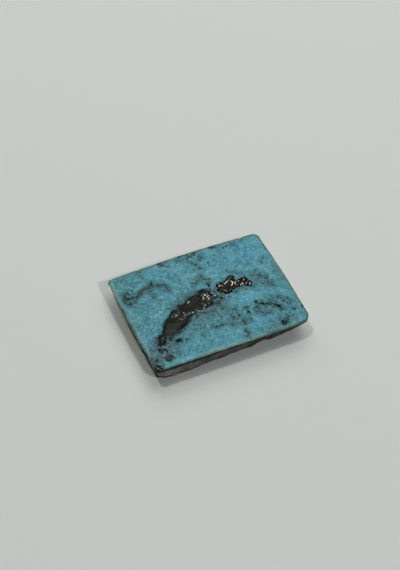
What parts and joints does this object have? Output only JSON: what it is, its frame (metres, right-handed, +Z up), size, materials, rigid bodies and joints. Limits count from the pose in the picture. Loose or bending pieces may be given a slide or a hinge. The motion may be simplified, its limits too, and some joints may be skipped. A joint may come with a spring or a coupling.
{
  "type": "turquoise slab",
  "caption": "Thin, roughly rectangular slab of turquoise with a flat lapped face, trimmed walls, dark matrix and pyrite, and a rough natural back that it rests on.",
  "frame": {"origin": "on the resting plane, under the middle of the slab", "axes": "+X along the long side, +Y across it, +Z up, out of the lapped face"},
  "size_m": [0.0204, 0.0158, 0.0021],
  "materials": {
    "turquoise": "satin lapped blue-green face with brown-black matrix and pyrite specks; dull brown-grey walls and back"
  },
  "bodies": {
    "root": {"turquoise_slab": "turquoise"}
  },
  "joints": []
}
